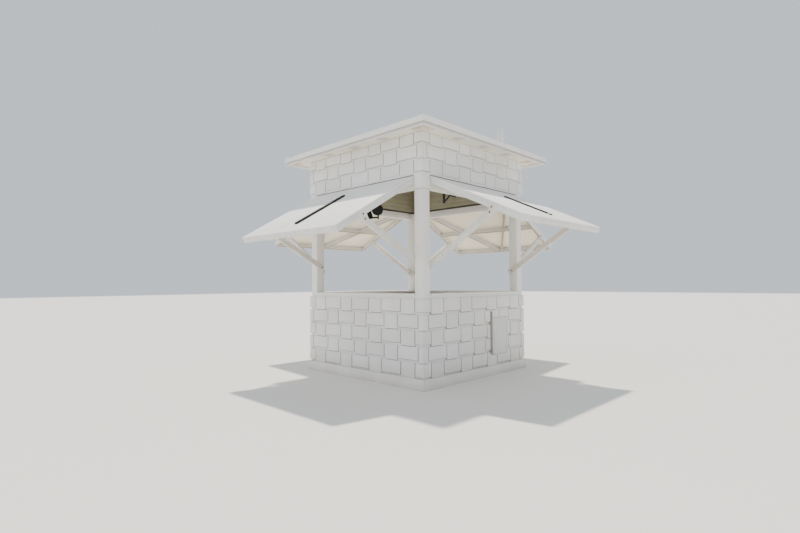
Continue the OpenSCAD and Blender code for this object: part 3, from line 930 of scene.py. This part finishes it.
@dataclass
class Timbers:
    """Builds the posts, corner boards, plinth, counters, header beams and lining."""

    kiosk: Kiosk
    painter: Painter
    upright: list[Paint] = field(init=False)
    trim: Paint = field(init=False)
    grime_shade: Paint = field(init=False)

    def __post_init__(self) -> None:
        """Fetches the paints."""
        self.grime_shade = self.painter.get(JOINT_GRIME_AND_SHADE)
        self.upright = self.painter.tones(BOARD_UPRIGHT)
        self.trim = self.painter.get(TRIM)

    def post(self, side: Side) -> None:
        """Makes the square post at the right-hand end of a side.

        Args:
            side: the side.
        """
        k = self.kiosk
        shape = Shape(f"{side.corner}_timber_post")
        low, high = (k.inner, -k.half, 0), (k.half, -k.inner, k.soffit)
        shape.box(low, high, self.upright[0], side.matrix, 4 * MM)
        shape.finish(f"{side.corner}_post")

    def _wrap(
        self,
        shape: Shape,
        side: Side,
        start: float,
        foot: tuple[float, float],
        head: tuple[float, float],
        tone: Paint,
    ) -> None:
        """Adds two boards that meet in a mitre round a corner.

        Args:
            shape: the mesh they go into.
            side: the side whose right-hand corner they wrap.
            start: where both boards begin, from the centre.
            foot: height and thickness at the bottom edge.
            head: height and thickness at the top edge.
            tone: their paint.
        """
        h = self.kiosk.half
        rings = []
        for z, out in (foot, head):
            rings.append([(start, -h, z), (h, -h, z), (h + out, -h - out, z), (start, -h - out, z)])
        over = Matrix(((0, -1, 0, 0), (-1, 0, 0, 0), (0, 0, 1, 0), (0, 0, 0, 1)))
        for place in (side.matrix, side.matrix @ over):
            shape.loft(rings[0], rings[1], tone, place, 2.5 * MM)

    def _rows(self, shape: Shape, side: Side, courses: Courses) -> None:
        """Adds the corner boards of all rows of one wall.

        Args:
            shape: the mesh they go into.
            side: the side whose right-hand corner they wrap.
            courses: the wall's rows.
        """
        k = self.kiosk
        for row in range(courses.count):
            start = k.corner_joint(row) + k.groove / 2
            foot, head = courses.span(row)
            if row % 2:
                foot += k.grime_shade_line - courses.lap
            tone = self.upright[(row + side.value // 90) % 3]
            self._wrap(shape, side, start, (foot, k.board_bottom), (head, k.board_top), tone)
            self._under(shape, side, start, foot)

    def _under(self, shape: Shape, side: Side, start: float, foot: float) -> None:
        """Adds the dirt and painted shade under two corner boards whose foot is at a height."""
        k = self.kiosk
        self._wrap(shape, side, start, (foot - k.grime_shade_line, k.grime_shade_depth), (foot, k.grime_shade_depth), self.grime_shade)

    def quoins(self, side: Side) -> None:
        """Makes the wrapped boards of one corner and its sleeve between the two walls.

        Args:
            side: the side whose right-hand corner they wrap.
        """
        k = self.kiosk
        shape = Shape(f"{side.corner}_corner_boards")
        self._rows(shape, side, k.base_courses)
        self._rows(shape, side, k.box_courses)
        foot, head = k.header_bottom + k.sleeve_rise, k.hinge_z + k.box_first - k.grime_shade_line
        self._wrap(shape, side, k.inner, (foot, k.sleeve_depth), (head, k.sleeve_depth), self.upright[0])
        self._under(shape, side, k.inner, foot)
        shape.finish(f"{side.corner}_quoins")

    @staticmethod
    def ring(
        shape: Shape, outer: float, depth: float, low: float, high: float, paint: Paint, bevel: float = 3 * MM
    ) -> None:
        """Adds four boards round the plan, a hair apart at their mitres.

        Args:
            shape: the mesh they go into.
            outer: distance of their outer faces from the middle.
            depth: how thick they are.
            low: height of their lower edge.
            high: height of their upper edge.
            paint: their paint.
            bevel: width of their bevels.
        """
        inner, gap = outer - depth, 1 * MM
        corners = [(gap - outer, -outer), (outer - gap, -outer), (inner - gap, -inner), (gap - inner, -inner)]
        for side in Side:
            shape.slab(corners, low, high, paint, side.matrix, bevel)

    def plinth(self) -> None:
        """Makes the plinth boards with a weathered top edge."""
        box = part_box("plinth")
        shape = Shape("plinth_boards")
        paint = self.painter.get(replace(BOARD_ALONG, name="plinth_paint", dust=0.4))
        self.ring(shape, box[1][0], box[1][0] - self.kiosk.half, 0, box[1][2], paint, 5 * MM)
        shape.finish("plinth")

    def counter(self, side: Side) -> None:
        """Makes one counter from three planks with fine joints.

        Args:
            side: the side.
        """
        k = self.kiosk
        low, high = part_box("front_counter")
        nose, reach = -low[1], -high[1]
        shape = Shape(f"{side.label}_counter_planks")
        middle = (k.inner + reach) / 2
        joint = 0.75 * MM
        planks = (nose, k.inner + joint), (k.inner - joint, middle + joint), (middle - joint, reach)
        for outer, inner in planks:
            a, b = min(outer, k.inner), min(inner, k.inner)
            corners = [(-a, -outer), (a, -outer), (b, -inner), (-b, -inner)]
            shape.slab(corners, low[2], high[2], self.trim, side.matrix, 3.5 * MM)
        shape.finish(f"{side.label}_counter")

    def headers(self) -> None:
        """Makes the header beams, each of two stacked boards."""
        k = self.kiosk
        shape = Shape("header_boards")
        joint = k.header_bottom + 89 * MM
        for side in Side:
            for low, high in ((k.header_bottom, joint), (joint, k.hinge_z)):
                corner = (k.inner, -k.half + k.wall_depth, high)
                shape.box((-k.inner, -k.half, low), corner, self.trim, side.matrix, 3 * MM)
        shape.finish("header_beams")

    def lining(self) -> None:
        """Makes the dark boards inside the upper box, on thin sheets painted as the shade in the gaps between
        them, with a strip of painted deep shade along their foot.
        """
        low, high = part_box("box_lining")
        paint = self.painter.get(LINING)
        gap = self.painter.get(GAP)
        shape = Shape("dark_lining_boards")
        count, joint, mitre, strip = 7, 3 * MM, 1 * MM, 22 * MM
        slit = self.painter.get(SLIT)
        pitch = (high[2] - low[2]) / count
        back, edge, face = high[1], self.kiosk.inner - 2 * MM, self.kiosk.inner - 12 * MM
        outline = [(edge, -back), (edge, -edge - mitre), (face - mitre, -face)]
        outline = [(-x, y) for x, y in reversed(outline)] + outline
        deep = [(x, min(y, -face - 4 * MM)) for x, y in outline]
        for side in Side:
            shape.slab(deep, low[2], high[2], gap, side.matrix, 0)
            for i in range(count):
                z = low[2] + i * pitch
                shape.slab(outline, z + (0 if i else strip), z + pitch - joint, paint, side.matrix, 1.5 * MM)
            shape.slab(outline, low[2], low[2] + strip - 1 * MM, slit, side.matrix, 1 * MM)
        shape.finish("box_lining", slot="dark_timber")


@dataclass
class Roof:
    """Builds the soffit, the fascias and the roof covering."""

    kiosk: Kiosk
    painter: Painter
    timbers: Timbers
    soffit_boards: int = 10
    vent_places: tuple[float, ...] = (-0.6, 0, 0.6)
    vent_half: float = 90 * MM
    vent_near: float = 1.26
    vent_far: float = 1.4
    slots: int = 4
    slot_pitch: float = 32 * MM
    slot_width: float = 14 * MM
    sheets: int = 6
    foot: float = field(init=False)
    edge: float = field(init=False)
    reach: float = field(init=False)
    peak: float = field(init=False)

    def __post_init__(self) -> None:
        """Reads the covering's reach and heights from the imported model."""
        low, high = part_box("roof_deck")
        self.foot, self.edge, self.reach, self.peak = low[2], low[2] + 12 * MM, high[0], high[2]

    def soffit(self) -> None:
        """Makes the soffit from boards with fine joints and slotted vents outside the walls."""
        low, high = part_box("soffit")
        shape = Shape("soffit_boards")
        paint, reach = self.painter.get(SOFFIT), high[0]
        width = 2 * reach / self.soffit_boards
        for i in range(self.soffit_boards):
            y0 = -reach + i * width
            shape.box((-reach, y0, low[2] + 2 * MM), (reach, y0 + width, high[2]), paint, bevel=1.2 * MM)
        for side in Side:
            for place in self.vent_places:
                self._vent(shape, side, place, low[2])
        shape.finish("soffit")

    def _vent(self, shape: Shape, side: Side, place: float, z: float) -> None:
        """Adds one vent plate with its slots, drawn as flat strips of painted shade.

        Args:
            shape: the mesh it goes into.
            side: the side.
            place: its middle along the side.
            z: height of the soffit's underside.
        """
        half = self.vent_half
        low, high = (place - half, -self.vent_far, z + 0.6 * MM), (place + half, -self.vent_near, z + 4 * MM)
        shape.box(low, high, self.painter.get(VENT), side.matrix, 0.8 * MM)
        half -= 15 * MM
        # Flat strips painted as the shade in the vent's slots.
        for row in range(self.slots):
            y = 12 * MM - self.vent_far + row * self.slot_pitch
            low, high = (place - half, y, z + 0.2 * MM), (place + half, y + self.slot_width, z + 1 * MM)
            shape.box(low, high, self.painter.get(VENT_SLOT_SHADE), side.matrix, 0)

    def fascias(self) -> None:
        """Makes the sub-fascia and the cap fascia, with their shadow lines, bead and drip edge."""
        ring, trim = self.timbers.ring, self.timbers.trim
        drip, grime_shade = self.painter.get(DRIP), self.painter.get(DARK_GRIME_AND_SHADE)
        (_, _, foot), (reach, _, top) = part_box("sub_fascia")
        (_, _, cap_foot), (cap_reach, _, cap_top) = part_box("cap_fascia")
        shape = Shape("sub_fascia_boards")
        ring(shape, reach - 2 * MM, 36 * MM, foot, top, trim)
        # Thin dark rings painted as the shadow lines under the cap and under the bead.
        ring(shape, reach - 1 * MM, 8 * MM, cap_foot - 9 * MM, cap_foot + 5 * MM, grime_shade, 0)
        ring(shape, reach, 12 * MM, foot, foot + 12 * MM, trim, 2 * MM)
        ring(shape, reach - 1 * MM, 8 * MM, foot + 12 * MM, foot + 19 * MM, grime_shade, 0)
        shape.finish("sub_fascia")
        shape = Shape("cap_fascia_boards")
        edge, bead = cap_top - 16 * MM, cap_foot + 11 * MM
        ring(shape, cap_reach - 3 * MM, 17 * MM, bead, edge, trim)
        ring(shape, cap_reach - 1 * MM, 19 * MM, cap_foot, bead - 1.5 * MM, drip)
        ring(shape, cap_reach, 20 * MM, edge, cap_top, drip, 2 * MM)
        shape.finish("cap_fascia")

    def _height(self, out: float, lift: float = 0.0) -> float:
        """Height of the shell at a distance from the middle, raised by a lift."""
        return self.edge + (self.peak - self.edge) * (1 - out / self.reach) - 9 * MM + lift

    @staticmethod
    def _square(out: float, z: float) -> list[Point]:
        """Corners of a level square round the middle."""
        return [(-out, -out, z), (out, -out, z), (out, out, z), (-out, out, z)]

    def _sheet(self, shape: Shape, side: Side, far: float, near: float) -> None:
        """Adds one roof sheet between two distances, its far edge over the sheet below it.

        Args:
            shape: the mesh it goes into.
            side: the side.
            far: distance of its far edge from the middle.
            near: distance of its near edge from the middle.
        """
        rings = []
        for far_lift, near_lift in ((-2 * MM, -2 * MM), (7 * MM, 1 * MM)):
            a, b = self._height(far, far_lift), self._height(near, near_lift)
            rings.append([(-far, -far, a), (far, -far, a), (near, -near, b), (-near, -near, b)])
        shape.loft(*rings, self.painter.get(ROOF), side.matrix, 1 * MM)

    def deck(self) -> None:
        """Makes the roof shell, its overlapping sheets and the strips along the hips."""
        shape = Shape("roof_sheets")
        sheet, drip = self.painter.get(ROOF), self.painter.get(DRIP)
        reach, tip, edge = self.reach, 8 * MM, self._height(self.reach)
        shape.loft(self._square(reach, self.foot), self._square(reach, edge), drip)
        slope = self._square(reach - 1 * MM, edge), self._square(tip, self._height(tip))
        shape.loft(*slope, sheet, bevel=0)
        step = reach / self.sheets
        for side in Side:
            for i in range(self.sheets):
                far = reach - i * step
                self._sheet(shape, side, far - 2 * MM, max(far - step, 12 * MM))
        for side in Side:
            start = Vector((reach, -reach, self._height(reach, 4 * MM)))
            end = Vector((0, 0, self._height(0, 3 * MM)))
            shape.rod(start.lerp(end, 0.01), end, 11 * MM, drip, side.matrix, 12)
        shape.finish("roof_deck", slot="roof_sheet")


@dataclass
class StrutMaker:
    """Builds the props of the flaps with their plates and bolts."""

    kiosk: Kiosk
    painter: Painter
    width: float = 76 * MM
    thick: float = 38 * MM
    drop: float = 45 * MM
    plate: float = 4 * MM
    plate_width: float = 44 * MM
    plate_lap: float = 34 * MM
    bolt: float = 12 * MM
    bolt_head: float = 7 * MM

    def _hex_bolt(self, shape: Shape, start: Point, end: Point, matrix: Matrix) -> None:
        """Adds a rusty washer and hexagonal head between two points.

        Args:
            shape: the mesh it goes into.
            start: the point where the washer lies.
            end: the tip of the head.
            matrix: the move to its place.
        """
        rust = self.painter.get(RUST)
        a, b = Vector(start), Vector(end)
        shape.rod(a, a + (b - a) * 0.25, self.bolt, rust, matrix, 24)
        shape.rod(a + (b - a) * 0.2, b, 0.8 * self.bolt, rust, matrix, 6, 0.8 * MM)

    def struts(self, flap: Flap) -> None:
        """Makes the two props of one flap, from its side rails down to the posts.

        Args:
            flap: the flap.
        """
        k = self.kiosk
        paint = self.painter.get(STRUT)
        shape = Shape(f"{flap.side.label}_props")
        tilt = math.radians(flap.tilt)
        down = Vector((math.cos(tilt), -math.sin(tilt)))
        inward = Vector((-math.sin(tilt), -math.cos(tilt)))
        hinge = Vector((k.half + k.hinge_reach, k.hinge_z))
        under = hinge + inward * flap.depth
        head = under + down * flap.strut_head + inward * self.drop
        for hand, rise in zip((1, -1), flap.feet):
            foot = Vector((k.half - k.post_side / 2, k.base_height + rise))
            way = (head - foot).normalized()
            across = Vector((-way.y, way.x))
            outline = []
            for edge in (-self.width / 2, self.width / 2):
                start = foot + across * edge
                reach = (under - start).cross(down) / way.cross(down)
                outline.append((start - way * self.width / 2, start + way * reach))
            corners = [outline[0][0], outline[0][1], outline[1][1], outline[1][0]]
            points = [(-p.x, p.y) for p in corners]
            x0 = flap.half_width - self.thick if hand > 0 else -flap.half_width
            shape.prism(points, x0, x0 + self.thick, paint, flap.side.matrix, 3 * MM)
            face, post = (x0, x0 + self.thick) if hand > 0 else (x0 + self.thick, x0)
            y, z = -foot.x, foot.y
            self._hex_bolt(shape, (face, y, z), (face - hand * 8 * MM, y, z), flap.side.matrix)
            washer = self.width / 4
            shape.rod((post, y, z), (hand * k.inner, y, z), washer, paint, flap.side.matrix, 24, 0.5 * MM)
        shape.finish(f"{flap.side.label}_struts")

    def plates(self, flaps: list[Flap]) -> None:
        """Makes the painted plates and rusty bolts at all strut heads.

        Args:
            flaps: all the flaps.
        """
        shape = Shape("strut_head_plates")
        paint = self.painter.get(STRUT)
        for flap in flaps:
            place = flap.matrix(self.kiosk)
            middle, y = -flap.depth - self.drop, -flap.strut_head
            half, low, high = self.plate_width / 2, middle - self.plate_width / 2, self.plate_lap - flap.depth
            for x0 in (flap.half_width - self.thick, -flap.half_width):
                for x, way in ((x0, -1), (x0 + self.thick, 1)):
                    outer = x + way * self.plate
                    corners = (min(x, outer), y - half, low), (max(x, outer), y + half, high)
                    shape.box(*corners, paint, place, 1 * MM)
                    for z, head in ((middle, self.bolt_head), (high - 14 * MM, 5 * MM)):
                        self._hex_bolt(shape, (outer, y, z), (outer + way * head, y, z), place)
        shape.finish("strut_plates", slot="zinc_plated_steel")


@dataclass
class Fittings:
    """Builds the notice board, lamps, iron bracket, rail and aerial."""

    kiosk: Kiosk
    painter: Painter
    border: float = 14 * MM
    border_line: float = 7 * MM
    screw_inset: float = 40 * MM
    lamp_place: float = 0.325
    lamp_drop: float = 0.294
    lamp_arm: float = 0.18
    lamp_stem: float = 12 * MM
    lamp_length: float = 64 * MM
    lamp_fins: int = 7
    bracket_place: float = -0.655
    bracket_bar: float = 26 * MM
    bracket_reach: float = 0.27
    bracket_knee: float = 0.138
    bracket_drop: float = 0.131
    rail_edge: float = 0.31
    rail_width: float = 40 * MM
    rail_depth: float = 12 * MM
    rail_foot: float = 0.305
    rail_top: float = 0.945
    rail_clips: tuple[float, float] = (0.79, 0.53)
    aerial_rod: float = 13 * MM
    aerial_arm: float = 0.11

    def notice_board(self) -> None:
        """Makes the blank board with its proud border, a painted shadow line inside it and four screws."""
        low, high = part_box("notice_board")
        x0, x1 = low[0], high[0]
        shape = Shape("blank_notice_board")
        # The dark strip is painted as the shadow gap between the border and the panel.
        dark = (self.border, 3 * MM, DARK_GRIME_AND_SHADE, 0)
        face = (self.border + self.border_line, 2 * MM, NOTICE, 0.5 * MM)
        for edge, sunk, finish, bevel in (dark, face):
            corners = (x0, low[1] + edge, low[2] + edge), (x1 - sunk, high[1] - edge, high[2] - edge)
            shape.box(*corners, self.painter.get(finish), bevel=bevel)
        near, far = [v + self.border for v in low], [v - self.border for v in high]
        for y0, y1, z0, z1 in (
            (low[1], high[1], low[2], near[2]),
            (low[1], high[1], far[2], high[2]),
            (low[1], near[1], near[2], far[2]),
            (far[1], high[1], near[2], far[2]),
        ):
            shape.box((x0, y0, z0), (x1, y1, z1), self.painter.get(TRIM), bevel=1.5 * MM)
        zinc = self.painter.get(ZINC)
        for y in (low[1] + self.screw_inset, high[1] - self.screw_inset):
            for z in (low[2] + self.screw_inset, high[2] - self.screw_inset):
                ends = (x1 - 4 * MM, y, z), (x1 - 1 * MM, y, z)
                shape.rod(*ends, 5 * MM, zinc, sides=16, bevel=0.5 * MM)
        shape.finish("notice_board", slot="board_face")

    def lamps(self) -> None:
        """Makes the two black flood lamps on their stem and arm."""
        k = self.kiosk
        x, far_x, y = self.lamp_place, self.lamp_place - self.lamp_arm, k.wall_depth / 2 - k.half
        top, z = k.header_bottom, k.header_bottom - self.lamp_drop
        black = self.painter.get(LAMP)
        shape = Shape("twin_flood_lamps")
        corners = (x - 55 * MM, y - 30 * MM, top - 36 * MM), (x + 55 * MM, y + 30 * MM, top)
        shape.box(*corners, black, bevel=5 * MM)
        stem = (x, y, z - 30 * MM), (x, y, top - 30 * MM)
        arm = (far_x, y, z), (x, y, z)
        for ends, bevel in ((stem, 3 * MM), (arm, 2 * MM)):
            shape.rod(*ends, self.lamp_stem, black, sides=24, bevel=bevel)
        self._lamp(shape, Vector((x + 12 * MM, y - 20 * MM, z + 104 * MM)), 80 * MM, 35)
        self._lamp(shape, Vector((far_x, y, z + 55 * MM)), 65 * MM, -42)
        shape.finish("flood_lamps", slot="black_steel")

    def _lamp(self, shape: Shape, middle: Vector, radius: float, way: float) -> None:
        """Adds one lamp head with a rim, a glass and cooling fins.

        Args:
            shape: the mesh it goes into.
            middle: the middle of the head.
            radius: its radius.
            way: its turn about Z in degrees from the front.
        """
        half = self.lamp_length / 2
        black, glass = self.painter.get(LAMP), self.painter.get(LENS)
        turn = Matrix.Rotation(math.radians(way), 4, "Z") @ Matrix.Rotation(math.radians(110), 4, "X")
        place = Matrix.Translation(middle) @ turn
        for low, high, inset, paint, bevel in (
            (-half + 12 * MM, half - 12 * MM, 4 * MM, black, 3 * MM),
            (half - 14 * MM, half, 0, black, 2.5 * MM),
            (half - 4 * MM, half - 0.5 * MM, 9 * MM, glass, 0.5 * MM),
        ):
            shape.rod((0, 0, low), (0, 0, high), radius - inset, paint, place, 40, bevel)
        for i in range(self.lamp_fins):
            x = (i - self.lamp_fins // 2) * radius / 4
            reach = math.sqrt((radius - 6 * MM) ** 2 - x * x)
            corners = (x - 1.5 * MM, -reach, -half), (x + 1.5 * MM, reach, 14 * MM - half)
            shape.box(*corners, black, place, 0.4 * MM)

    def irons(self) -> None:
        """Makes the iron bracket on the right header and the steel rail beside the notice board."""
        k = self.kiosk
        shape = Shape("iron_bracket_and_rail")
        black, side = self.painter.get(BLACK), Side.RIGHT.matrix
        x, bar, knee = self.bracket_place, self.bracket_bar, self.bracket_place + self.bracket_knee
        y = k.wall_depth - k.half
        foot, top = k.header_bottom - self.bracket_drop, k.header_bottom + 10 * MM
        shape.box((x, y, foot), (x + bar, y + bar, top), black, side, 3 * MM)
        shape.box((knee, y, top - bar), (x + self.bracket_reach, y + bar, top), black, side, 3 * MM)
        slant = (x + bar / 2, y + bar / 2, foot + bar / 2), (knee + 6 * MM, y + bar / 2, top - bar / 2)
        shape.rod(*slant, 10 * MM, black, side, 16, 1 * MM)
        x0, x1, y1 = self.rail_edge - self.rail_width, self.rail_edge, -k.half - k.board_bottom
        low, high = (x0, y1 - self.rail_depth, self.rail_foot), (x1, y1, self.rail_top)
        shape.box(low, high, self.painter.get(DULL_STEEL), side)
        for z in self.rail_clips:
            low, high = (x0 + 1 * MM, y1 - 16 * MM, z - 12 * MM), (x1 - 1 * MM, y1 - 9 * MM, z + 12 * MM)
            shape.box(low, high, self.painter.get(ZINC), side, 1.5 * MM)
        shape.finish("iron_fittings", slot="black_steel")

    def aerial(self) -> None:
        """Makes the aerial's rod, panel, arm and foot on the roof's slope."""
        low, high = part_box("aerial")
        metal, pale = self.painter.get(ALUMINIUM), self.painter.get(NOTICE)
        shape = Shape("roof_aerial")
        rod, foot, tip = self.aerial_rod, low[2], high[2]
        x, y = (low[0] + high[0]) / 2, high[1] - 2 * rod
        face, arm = y - self.aerial_arm, tip - 0.192
        for z0, z1, radius, bevel in (
            (foot + 5 * MM, tip, rod, 2 * MM),
            (foot + 4 * MM, foot + 50 * MM, 2 * rod, 3 * MM),
            (arm - 14 * MM, arm + 14 * MM, rod + 5 * MM, 1.5 * MM),
        ):
            shape.rod((x, y, z0), (x, y, z1), radius, metal, sides=28, bevel=bevel)
        panel = (x - 26 * MM, face - 10 * MM, foot + 4 * MM), (x + 26 * MM, face + 10 * MM, tip - 50 * MM)
        shape.box(*panel, pale, bevel=5 * MM)
        shape.box((x - 8 * MM, face, arm - 8 * MM), (x + 8 * MM, y, arm + 8 * MM), metal, bevel=1.5 * MM)
        shape.finish("aerial", slot="bare_aluminium")


def make_camera() -> None:
    """Places the camera where the photograph was taken from."""
    spot, aim, pitch, roll = (5.4434, -5.9575, 1.3809), 134.378, 0.0329, -0.0059
    data = bpy.data.cameras.new("camera")
    data.sensor_width = 36.0
    data.lens = 22.22
    data.dof.use_dof = False
    camera = bpy.data.objects.new("camera", data)
    bpy.context.scene.collection.objects.link(camera)
    a = math.radians(aim)
    forward = Vector((math.cos(a) * math.cos(pitch), math.sin(a) * math.cos(pitch), math.sin(pitch)))
    right = forward.cross(Vector((0, 0, 1))).normalized()
    up = right.cross(forward)
    tilted_right = right * math.cos(roll) + up * math.sin(roll)
    tilted_up = up * math.cos(roll) - right * math.sin(roll)
    axes = Matrix((tilted_right, tilted_up, -forward)).transposed().to_4x4()
    camera.matrix_world = Matrix.Translation(spot) @ axes
    bpy.context.scene.camera = camera


def add_sun(name: str, towards: Point, energy: float, spread: float, colour: str) -> None:
    """Adds a distant light.

    Args:
        name: its name.
        towards: the direction from the kiosk to the light.
        energy: its strength.
        spread: its apparent width in degrees.
        colour: its colour as an sRGB hex string.
    """
    data = bpy.data.lights.new(name, "SUN")
    data.energy = energy
    data.angle = math.radians(spread)
    data.color = linear(colour)[:3]
    lamp = bpy.data.objects.new(name, data)
    lamp.rotation_euler = Vector(towards).to_track_quat("Z", "Y").to_euler()
    bpy.context.scene.collection.objects.link(lamp)


def make_light() -> None:
    """Adds a bright soft sky, the sun high behind the kiosk and a weak wide glow from the front."""
    world = bpy.data.worlds.new("studio")
    world.use_nodes = True
    world.node_tree.nodes["Background"].inputs["Color"].default_value = linear("#E6EEF8")
    world.node_tree.nodes["Background"].inputs["Strength"].default_value = 0.95
    bpy.context.scene.world = world
    add_sun("sun", (-0.27, 0.23, 1), 5.0, 2, "#FFF6E8")
    add_sun("front_glow", (-0.35, -1, 0.55), 0.45, 60, "#F4F7FF")


def make_floor(painter: Painter) -> None:
    """Adds the plain pale floor.

    Args:
        painter: the painter that makes the floor's material.
    """
    bm = bmesh.new()
    bmesh.ops.create_grid(bm, x_segments=1, y_segments=1, size=60)
    mesh = bpy.data.meshes.new("floor")
    bm.to_mesh(mesh)
    bm.free()
    mesh.materials.append(painter.get(FLOOR))
    floor = bpy.data.objects.new("floor", mesh)
    bpy.context.scene.collection.objects.link(floor)


def main() -> None:
    """Builds the scene."""
    logging.basicConfig(level=logging.INFO)
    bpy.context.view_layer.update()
    painter, kiosk = Painter(), Kiosk.read()
    make_camera()
    make_light()
    make_floor(painter)
    for side in Side:
        weave = Weave(kiosk, painter, side)
        weave.base()
        weave.box()
    front = Flap(Side.FRONT, 30, strut_head=1.06, feet=(0.455, 0.428))
    flaps = [front, Flap(Side.RIGHT, 25), Flap(Side.BACK, 29), Flap(Side.LEFT, 25.5)]
    maker = FlapMaker(kiosk, painter)
    for flap in flaps:
        maker.skin(flap)
        maker.frame(flap)
    maker.lock_bars(flaps)
    timbers = Timbers(kiosk, painter)
    for side in Side:
        timbers.post(side)
        timbers.quoins(side)
        timbers.counter(side)
    timbers.plinth()
    timbers.headers()
    timbers.lining()
    roof = Roof(kiosk, painter, timbers)
    roof.soffit()
    roof.fascias()
    roof.deck()
    props = StrutMaker(kiosk, painter)
    for flap in flaps:
        props.struts(flap)
    props.plates(flaps)
    fittings = Fittings(kiosk, painter)
    fittings.notice_board()
    fittings.lamps()
    fittings.irons()
    fittings.aerial()


if __name__ == "__main__":
    main()
